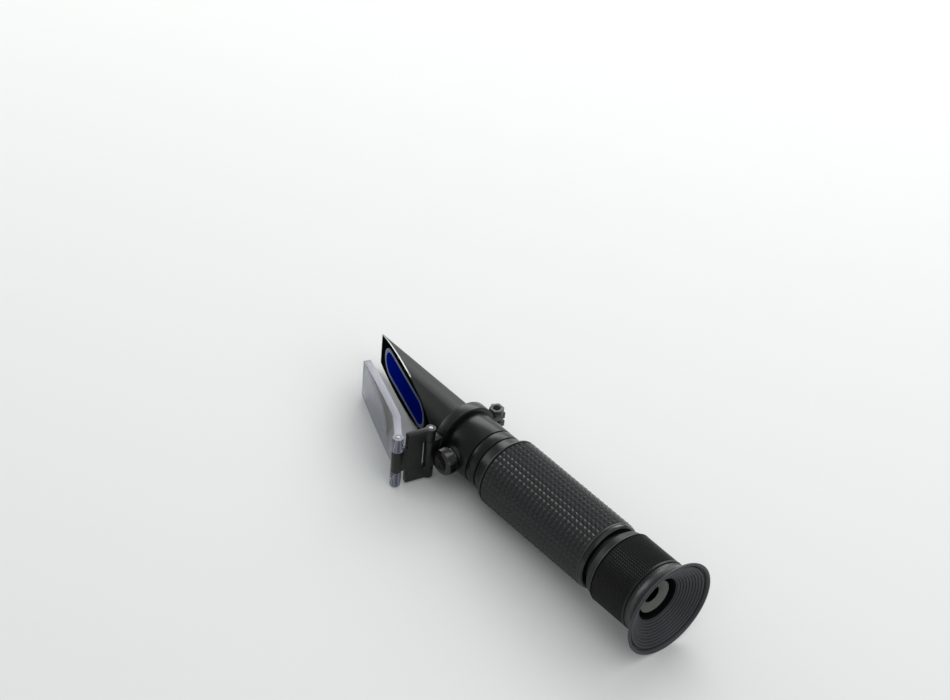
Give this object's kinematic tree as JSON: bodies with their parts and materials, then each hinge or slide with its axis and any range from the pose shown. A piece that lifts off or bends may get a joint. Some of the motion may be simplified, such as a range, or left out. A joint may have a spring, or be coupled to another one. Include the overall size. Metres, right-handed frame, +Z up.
{
  "type": "hand refractometer",
  "caption": "Hand-held optical refractometer with a slanted prism face, double-hinged clear daylight plate, rubber grip, focusing eyepiece and eyecup.",
  "frame": {"origin": "on the optical axis, at the middle of the rubber grip", "axes": "+X along the optical axis towards the eye, -Y the side that the measuring face and daylight plate look to, +Z up along the hinge pins"},
  "size_m": [0.1817, 0.054, 0.0414],
  "materials": {
    "black_anodised": "satin black anodised aluminium",
    "black_plastic": "satin moulded plastic",
    "gloss_black": "polished moulded plastic",
    "grip_rubber": "soft matt rubber with moulded pyramids",
    "cup_rubber": "soft matt rubber",
    "clear_acrylic": "clear moulded acrylic",
    "prism_glass": "deep blue optical glass",
    "cement": "translucent cement bead",
    "lens_glass": "coated optical glass",
    "steel": "bright steel",
    "bimetal": "rolled strip",
    "seal_rubber": "nitrile rubber"
  },
  "bodies": {
    "barrel": {"main_tube": "black_anodised", "prism_housing": "black_anodised", "measuring_prism": "prism_glass", "prism_seal": "cement", "housing_seal": "seal_rubber", "rubber_grip": "grip_rubber", "tail_ring": "gloss_black", "hinge_collar": "black_plastic", "collar_clamp_screw": "steel", "collar_clamp_nut": "steel", "focus_guide_pin": "steel", "reticle_glass": "lens_glass", "reticle_ring": "black_anodised", "field_stop": "black_anodised", "strip_anchor": "black_anodised", "calibration_seal": "seal_rubber"},
    "link": {"hinge_link": "black_plastic", "collar_hinge_pin": "steel", "plate_hinge_pin": "steel"},
    "plate": {"daylight_plate": "clear_acrylic"},
    "eyepiece_cell": {"lens_cell": "black_anodised", "field_lens": "lens_glass", "lens_spacer": "black_anodised", "eye_lens": "lens_glass", "lens_retaining_ring": "black_anodised"},
    "focus": {"focus_ring": "black_anodised", "eyepiece_lock_ring": "black_anodised", "eyecup": "cup_rubber"},
    "objective": {"objective_cell": "black_anodised", "objective_lens": "lens_glass", "strip_rivets": "steel", "atc_bimetal_strip": "bimetal"},
    "zero_screw": {"calibration_screw": "steel"},
    "zero_cap": {"calibration_cap": "gloss_black"}
  },
  "joints": [
    {"name": "link_swing", "type": "hinge", "parent": "barrel", "child": "link", "pos_m": [-0.0564, -0.0173, 0], "axis": [0, 0, 1], "range_deg": [-90.8, 0]},
    {"name": "plate_swing", "type": "hinge", "parent": "link", "child": "plate", "pos_m": [-0.0596, -0.0311, 0], "axis": [0, 0, 1], "range_deg": [0, 93.9]},
    {"name": "focus_travel", "type": "slide", "parent": "barrel", "child": "eyepiece_cell", "axis": [1, 0, 0], "range_m": [-0.00101, 0.00101]},
    {"name": "focus_turn", "type": "hinge", "parent": "eyepiece_cell", "child": "focus", "pos_m": [0.045, 0, 0], "axis": [1, 0, 0], "range_deg": [-150, 150]},
    {"name": "zero_turn", "type": "hinge", "parent": "barrel", "child": "zero_screw", "pos_m": [-0.0481, -0.012, 0], "axis": [0, -1, 0], "range_deg": [-180, 180]},
    {"name": "objective_shift", "type": "hinge", "parent": "barrel", "child": "objective", "pos_m": [-0.0234, 0.0079, 0], "axis": [0, 0, 1], "range_deg": [-0.63, 0.63]},
    {"name": "cap_pull", "type": "slide", "parent": "barrel", "child": "zero_cap", "axis": [0, -1, 0], "range_m": [0, 0.01]}
  ],
  "couplings": [
    {"joint": "plate_swing", "follows": "link_swing", "ratio": -1.0319},
    {"joint": "focus_travel", "follows": "focus_turn", "m_per_rad": 0.00038197},
    {"joint": "objective_shift", "follows": "zero_turn", "ratio": 0.0034152}
  ]
}
